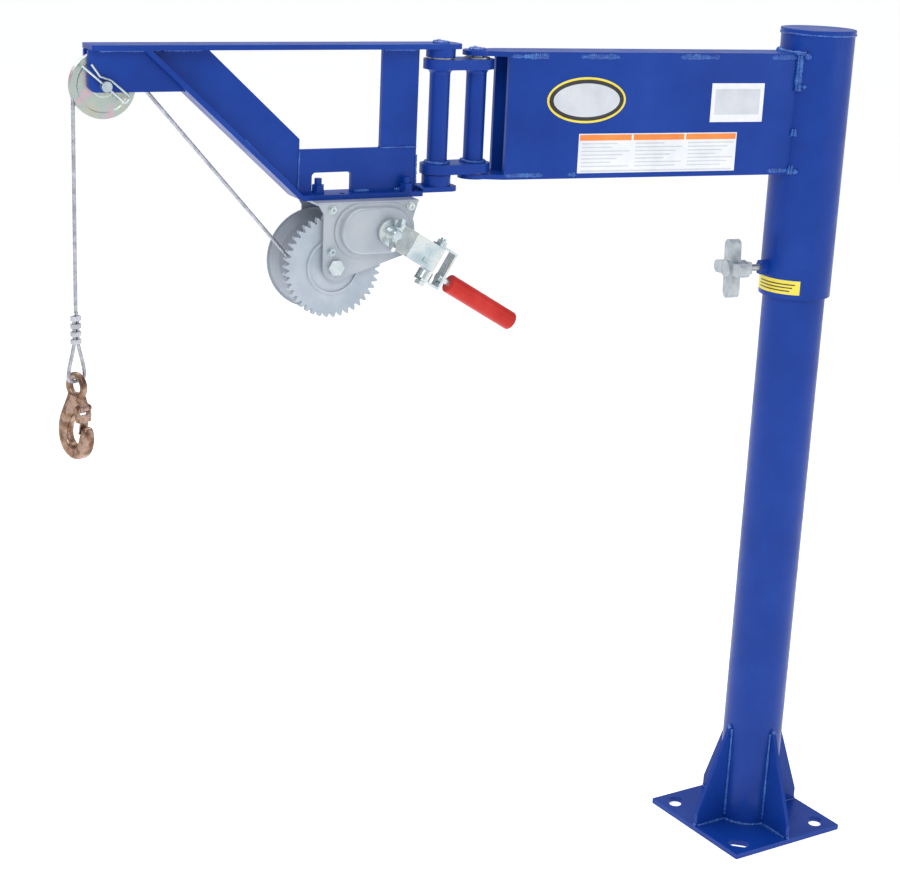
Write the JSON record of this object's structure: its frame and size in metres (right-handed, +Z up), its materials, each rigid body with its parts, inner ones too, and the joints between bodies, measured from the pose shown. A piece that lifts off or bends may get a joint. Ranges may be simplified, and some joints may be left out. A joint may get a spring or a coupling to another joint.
{
  "type": "engine hoist crane",
  "caption": "Bolt-down engine hoist crane: pipe mast on a slotted base, swivelling box boom, link and folding outer arm with hand winch, wire rope over a sheave and a latched hook.",
  "frame": {"origin": "centre of the base plate's underside, on the mast axis", "axes": "+Z up along the mast; -X roughly along the boom at rest; +Y to the far side of the boom"},
  "size_m": [1.147, 0.2723, 1.204],
  "materials": {
    "blue_paint": "glossy blue enamel over welded steel",
    "bare_steel": "turned steel",
    "bronze": "sintered bronze",
    "cast_knob": "rough grey casting",
    "grey_paint": "silver grey zinc paint",
    "zinc": "bright zinc plating",
    "yellow_zinc": "yellow chromate zinc",
    "wire_rope": "stranded galvanised wire",
    "aluminium_clamps": "pressed aluminium",
    "red_grip": "smooth red plastic",
    "bronze_zinc": "forged steel, bronze chromate"
  },
  "bodies": {
    "base": {"base_plate": "blue_paint", "gussets": "blue_paint", "mast_tube": "blue_paint", "mast_top_plate": "bare_steel", "thrust_washer": "bronze"},
    "inner_arm": {"sleeve": "blue_paint", "sleeve_cap": "blue_paint", "boom_front_plate": "blue_paint", "boom_rear_plate": "blue_paint", "boom_top_plate": "blue_paint", "boom_bottom_plate": "blue_paint", "hinge_pin_a": "bare_steel", "lock_nut": "blue_paint"},
    "lock_screw": {"lock_stud": "bare_steel"},
    "lock_handle": {"lock_knob": "cast_knob"},
    "link": {"link_top_plate": "blue_paint", "link_bottom_plate": "blue_paint", "link_barrels": "blue_paint", "link_bushings": "bronze", "link_washers": "bare_steel"},
    "outer_arm": {"arm_top_bar": "blue_paint", "hinge_pin_b": "bare_steel", "arm_collars": "blue_paint", "arm_washer": "bare_steel", "arm_lower_ear": "blue_paint", "arm_strut": "blue_paint", "arm_lower_bar": "blue_paint", "arm_diagonal": "blue_paint", "arm_strip": "blue_paint", "cheeks": "blue_paint", "sheave_pin": "zinc", "hairpin_clip": "zinc", "rope_run": "wire_rope", "rope_fall": "wire_rope", "winch_frame": "grey_paint", "gear_cover": "grey_paint", "cover_screws": "zinc", "drum_axle": "zinc", "drum_axle_nut": "zinc", "mount_bolts": "blue_paint", "mount_nuts": "blue_paint"},
    "sheave": {"sheave": "yellow_zinc"},
    "drum": {"drum": "grey_paint", "drum_gear": "grey_paint", "wound_rope": "wire_rope"},
    "crank": {"pinion": "zinc", "crank_washer": "zinc", "wing_nut": "zinc", "crank_arm": "zinc", "crank_hinge_bolt": "zinc"},
    "grip_bracket": {"grip_bracket": "zinc", "grip_spindle": "zinc"},
    "grip": {"grip": "red_grip"},
    "hook": {"hook": "bronze_zinc", "rope_eye": "wire_rope", "rope_clamps": "aluminium_clamps", "latch_rivet": "bronze_zinc"},
    "latch": {"hook_latch": "bronze_zinc"}
  },
  "joints": [
    {"name": "mast_swivel", "type": "hinge", "parent": "base", "child": "inner_arm", "pos_m": [0, 0, 1], "axis": [0, 0, 1], "continuous": true},
    {"name": "link_hinge", "type": "hinge", "parent": "inner_arm", "child": "link", "pos_m": [-0.49791, 0.09399, 1], "axis": [0, 0, 1], "range_deg": [-88, 72]},
    {"name": "arm_hinge", "type": "hinge", "parent": "link", "child": "outer_arm", "pos_m": [-0.55195, 0.09642, 1], "axis": [0, 0, 1], "range_deg": [-87, 35]},
    {"name": "lock_travel", "type": "slide", "parent": "inner_arm", "child": "lock_screw", "axis": [-0.9826, 0.1855, 0], "range_m": [0, 0.0061]},
    {"name": "lock_turn", "type": "hinge", "parent": "lock_screw", "child": "lock_handle", "pos_m": [0, 0, 0.871], "axis": [-0.9826, 0.1855, 0], "range_deg": [0, 1440]},
    {"name": "sheave_turn", "type": "hinge", "parent": "outer_arm", "child": "sheave", "pos_m": [-0.99533, 0.13778, 1.1332], "axis": [-0.0929, -0.9957, 0], "range_deg": [-360, 900]},
    {"name": "drum_turn", "type": "hinge", "parent": "outer_arm", "child": "drum", "pos_m": [-0.70827, 0.111, 0.9065], "axis": [-0.0929, -0.9957, 0], "range_deg": [-1020, 405]},
    {"name": "crank_turn", "type": "hinge", "parent": "outer_arm", "child": "crank", "pos_m": [-0.63883, 0.10452, 0.95057], "axis": [-0.0929, -0.9957, 0], "range_deg": [-1310, 3300]},
    {"name": "grip_fold", "type": "hinge", "parent": "crank", "child": "grip_bracket", "pos_m": [-0.58429, 0.04319, 0.91452], "axis": [-0.5128, 0.0478, -0.8572], "range_deg": [0, 90]},
    {"name": "grip_spin", "type": "hinge", "parent": "grip_bracket", "child": "grip", "pos_m": [-0.56143, 0.04106, 0.88089], "axis": [0.8535, -0.0796, -0.515], "continuous": true},
    {"name": "hook_travel", "type": "slide", "parent": "outer_arm", "child": "hook", "axis": [0, 0, 1], "range_m": [-0.545, 0.217], "deforming": ["rope_fall"]},
    {"name": "latch_turn", "type": "hinge", "parent": "hook", "child": "latch", "pos_m": [-1.02756, 0.13105, 0.7415], "axis": [0.9549, 0.2969, 0], "range_deg": [0, 38], "stiffness_Nm_per_rad": 0.05, "springref_deg": -17.19}
  ],
  "couplings": [
    {"joint": "crank_turn", "follows": "drum_turn", "ratio": -3.2308},
    {"joint": "sheave_turn", "follows": "drum_turn", "ratio": -0.85916},
    {"joint": "hook_travel", "follows": "drum_turn", "m_per_rad": 0.0305},
    {"joint": "lock_travel", "follows": "lock_turn", "m_per_rad": 0.00023873}
  ]
}
